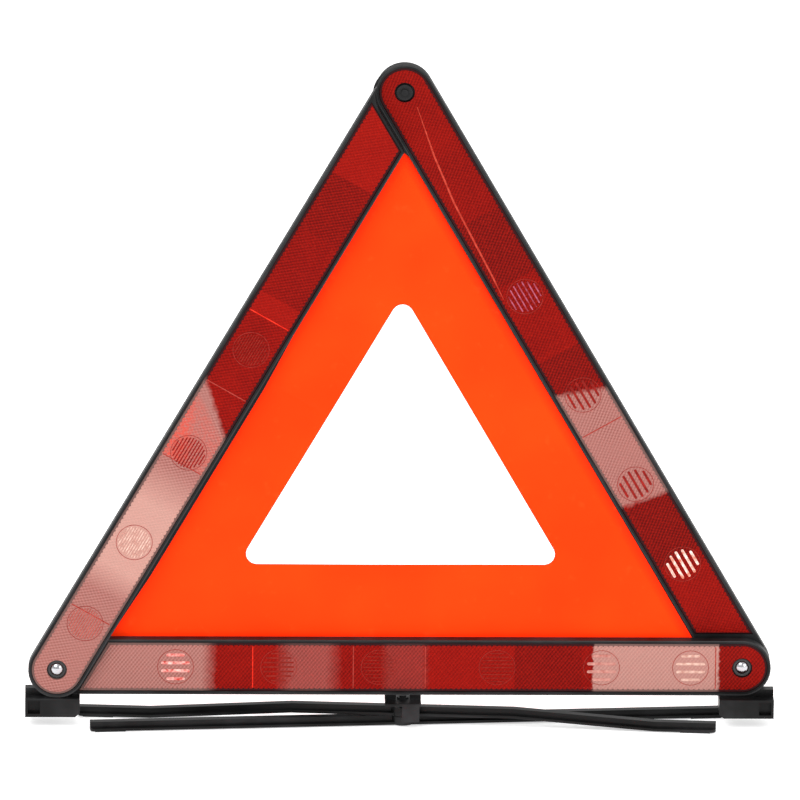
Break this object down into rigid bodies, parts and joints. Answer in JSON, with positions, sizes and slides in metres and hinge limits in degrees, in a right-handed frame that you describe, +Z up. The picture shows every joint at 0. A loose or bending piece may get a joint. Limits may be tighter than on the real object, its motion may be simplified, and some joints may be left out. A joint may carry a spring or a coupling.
{
  "type": "warning triangle",
  "caption": "Folding roadside warning triangle: red reflector arms around an orange fluorescent sheet with a window, on a stand of two crossing legs",
  "frame": {"origin": "on the floor, midway between the two end brackets, in the middle plane of the bottom arm", "axes": "+X to the viewer's right along the bottom arm, +Y toward the back, so the reflectors face -Y, +Z up"},
  "size_m": [0.4436, 0.0399, 0.4044],
  "materials": {
    "arm_plastic": "moulded black plastic, satin",
    "stand_plastic": "moulded black plastic, satin",
    "red_reflector": "clear red prismatic reflector",
    "fluorescent_sheet": "smooth orange-red fluorescent film",
    "bright_steel": "bright plated steel",
    "black_rubber": "soft black rubber"
  },
  "bodies": {
    "base": {"bottom_arm_housing": "arm_plastic", "bottom_arm_lens": "red_reflector", "bottom_arm_back": "arm_plastic", "left_rivet": "bright_steel", "left_rivet_washer": "black_rubber", "right_rivet": "bright_steel", "right_rivet_washer": "black_rubber", "fluorescent_sheet": "fluorescent_sheet", "sheet_studs": "stand_plastic", "left_bracket": "stand_plastic", "right_bracket": "stand_plastic", "bracket_pins": "bright_steel", "centre_clip": "stand_plastic", "leg_pin": "stand_plastic", "leg_pin_washer": "stand_plastic"},
    "left_arm": {"left_arm_housing": "arm_plastic", "left_arm_lens": "red_reflector", "left_arm_back": "arm_plastic"},
    "right_arm": {"right_arm_housing": "arm_plastic", "right_arm_lens": "red_reflector", "right_arm_back": "arm_plastic", "snap_stud": "stand_plastic", "snap_retainer": "black_rubber"},
    "front_left_leg": {"leg_a": "stand_plastic", "leg_a_pads": "black_rubber"},
    "front_right_leg": {"leg_b": "stand_plastic", "leg_b_pads": "black_rubber"}
  },
  "joints": [
    {"name": "left_arm_fold", "type": "hinge", "parent": "base", "child": "left_arm", "pos_m": [-0.203, -0.007, 0.0358], "axis": [0, 1, -0.0096], "range_deg": [0, 60], "deforming": ["fluorescent_sheet"]},
    {"name": "right_arm_fold", "type": "hinge", "parent": "base", "child": "right_arm", "pos_m": [0.203, 0.0083, 0.0358], "axis": [0, -0.9999, -0.0122], "range_deg": [0, 60], "deforming": ["fluorescent_sheet"]},
    {"name": "front_left_leg_swing", "type": "hinge", "parent": "base", "child": "front_left_leg", "pos_m": [0.002, 0, 0.003], "axis": [0, 0, 1], "range_deg": [0, 20]},
    {"name": "front_right_leg_swing", "type": "hinge", "parent": "base", "child": "front_right_leg", "pos_m": [0.002, 0, 0.008], "axis": [0, 0, -1], "range_deg": [0, 20]}
  ],
  "couplings": [
    {"joint": "right_arm_fold", "follows": "left_arm_fold", "ratio": 1}
  ]
}
